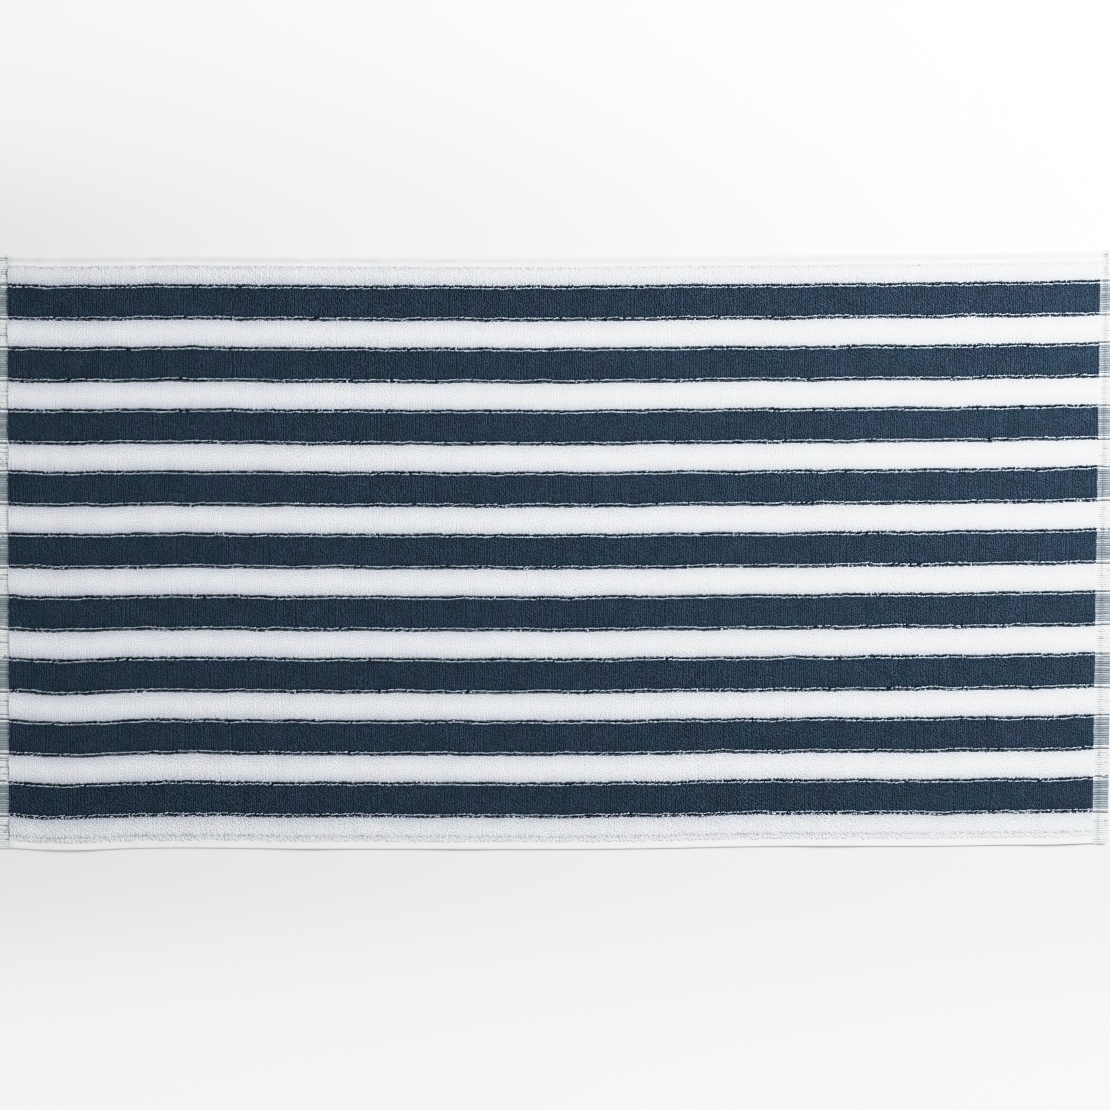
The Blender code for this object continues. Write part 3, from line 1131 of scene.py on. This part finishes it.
def stitch_shape():
    """One stitch along X: a round thread that bows up a little and dips in at both ends."""
    points, places = [], []
    for ring in range(STITCH_RINGS):
        share = ring / (STITCH_RINGS - 1)
        middle = STITCH_BOW * math.sin(math.pi * share)
        for side in range(STITCH_SIDES):
            turn = 2 * math.pi * side / STITCH_SIDES
            points.append((
                (share - 0.5) * STITCH_LONG,
                THREAD_RADIUS * math.cos(turn),
                middle + THREAD_RADIUS * math.sin(turn),
            ))
            places.append((share - 0.5, math.cos(turn) / 2, math.sin(math.pi * share)))
    rings = np.arange(len(points)).reshape(STITCH_RINGS, STITCH_SIDES)
    after = np.roll(rings, -1, axis=1)
    sides = np.stack([rings[:-1], after[:-1], after[1:], rings[1:]], 2).reshape(-1, 4)
    faces = [rings[0].tolist(), rings[-1].tolist(), *sides.tolist()]
    return yarn_shape("stitch", points, faces, places)


def among_cords(tree, place, colour):
    """Thread that is half covered by blue lint where it crosses the ends of the bands."""
    in_band = is_less(tree, band_distance(tree, part_of(tree, place, "Y")), LINES_END)
    return tinted(tree, colour, in_band, LINT_SHADE)


stitch_look = RowLook(
    Spacing=STITCH_STEP,
    Stray=(0.0002, 0.0002, 0.0),
    Wander=(0.0, 0.0010, 0.0),
    Wander_Scale=30.0,
    Lean=(0.0, 0.05, 0.10),
    Smallest=(0.9, 0.9, 0.9),
    Largest=(1.1, 1.1, 1.1),
)
end, side = CLOTH_LONG / 2 - SEAM_STOP, CLOTH_WIDE / 2 - SEAM_STOP
seams = [((-end, across), (end, across)) for across in (FRONT_SEAM, BACK_SEAM)]
seams += [((along, -side), (along, side)) for along in (-TURNED_SEAM, TURNED_SEAM)]
stitch = stitch_shape()
thread = yarn("sewing_thread", THREAD_HUES, plies_deep=STITCH_PLIES_DEEP, at_edges=among_cords)
set_along_rows("hem_stitches", seams, stitch, thread, stitch_look, STITCH_SEED, "flat_weave")

for shape in (loop, cord, stitch, cloth_guide):
    bpy.data.objects.remove(shape)

# ----------
# The surface, the light and the camera. A pale surface, painted darker near the towel as shade
# and with a painted glow further out, under a large soft light from the right and behind, seen
# from straight above.
SURFACE_WIDE = 60.0
SURFACE_DROP = 0.0004
SURFACE_GLOSS = 0.1
SURFACE_ROUGH = 0.7
SURFACE_FRONT_PAINTED = ((0.757, 0.757, 0.741), (0.704, 0.704, 0.693))
SURFACE_BACK_PAINTED = ((0.709, 0.709, 0.698), (0.974, 0.974, 0.963))
SURFACE_FAR = (0.93, 0.93, 0.93)
FAR_PAINTED_GLOW = 0.55
WHITE_LIGHT = (1.0, 1.0, 1.0, 1.0)
# Where the surface's painted shade changes from left to right and from front to back, and where
# it turns to its far colour with its painted glow, across the towel and past its ends
RIGHT_REACH = 0.7
BACK_REACH = 0.3
FAR_STARTS = (("Y", 0.38, 0.73), ("X", 0.78, 1.50))
LAMP_PLACE = (1.45, 0.90, 1.25)
LAMP_SIZE = 0.9
LAMP_WATTS = 94.5
ROOM_LIGHT = 0.71
CAMERA_PLACE = (0.0003, -0.0061, 3.4)
SEEN_WIDE = 1.4264
SENSOR = 36.0
VIEW_END = 100.0
FILM_END = 4.0
FILM_TONES = ((0.5, 0.5), (0.755, 0.68), (0.949, 0.77), (1.26, 0.86), (1.7, 0.905), (2.5, 0.965))


def surface_with_painted_light():
    """A smooth pale surface with painted shade near the middle, changing from left to right and from
    front to back, and a painted glow away from the middle.
    """
    material = bpy.data.materials.new("surface_with_painted_light")
    material.use_nodes = True
    tree = material.node_tree
    place = add_node(tree, "ShaderNodeTexCoord").outputs["Object"]
    to_right = between(tree, part_of(tree, place, "X"), -RIGHT_REACH, RIGHT_REACH)
    at_back = between(tree, part_of(tree, place, "Y"), -BACK_REACH, BACK_REACH)
    # Painted shade near the towel, from left to right and from front to back
    front, back = (blend(tree, to_right, *ends) for ends in (SURFACE_FRONT_PAINTED, SURFACE_BACK_PAINTED))
    near = blend(tree, at_back, front, back)
    far_shares = []
    for axis, start, stop in FAR_STARTS:
        away = sum_of(tree, "ABSOLUTE", part_of(tree, place, axis))
        far_shares.append(between(tree, away, start, stop, interpolation_type="SMOOTHSTEP"))
    far = sum_of(tree, "MAXIMUM", *far_shares)
    # The far surface has a painted glow
    fill(tree.nodes["Principled BSDF"], {
        "Base Color": blend(tree, far, near, SURFACE_FAR),
        "Roughness": SURFACE_ROUGH,
        "Specular IOR Level": SURFACE_GLOSS,
        "Emission Color": WHITE_LIGHT,
        "Emission Strength": sum_of(tree, "MULTIPLY", far, FAR_PAINTED_GLOW),
    })
    return material


half = SURFACE_WIDE / 2
corners = ((-half, -half), (half, -half), (half, half), (-half, half))
corners = [(x, y, -SURFACE_DROP) for x, y in corners]
surface = add_piece("surface", new_mesh("surface", corners, [], [(0, 1, 2, 3)]))
surface.data.materials.append(surface_with_painted_light())

lamp = bpy.data.lights.new("window", "AREA")
lamp.size = LAMP_SIZE
lamp.energy = LAMP_WATTS
window = add_piece("window", lamp)
window.location = LAMP_PLACE
window.rotation_euler = (-Vector(LAMP_PLACE)).to_track_quat("-Z", "Y").to_euler()
scene = bpy.context.scene
scene.world = bpy.data.worlds.new("room")
scene.world.use_nodes = True
background = scene.world.node_tree.nodes["Background"]
fill(background, {"Color": WHITE_LIGHT, "Strength": ROOM_LIGHT})

view = bpy.data.cameras.new("camera")
view.sensor_width = SENSOR
view.lens = SENSOR * CAMERA_PLACE[2] / SEEN_WIDE
view.clip_end = VIEW_END
scene.camera = add_piece("camera", view)
scene.camera.location = CAMERA_PLACE
scene.cycles.filter_width = 1.0

# The brightest tones are eased down, as on film, so that the white terry keeps its texture
scene.view_settings.view_transform = "Standard"
scene.view_settings.use_curve_mapping = True
film = scene.view_settings.curve_mapping
film.clip_max_x = FILM_END
film.curves[3].points[1].location = (FILM_END, 1.0)
for light_in, tone in FILM_TONES:
    film.curves[3].points.new(light_in, tone)
film.update()
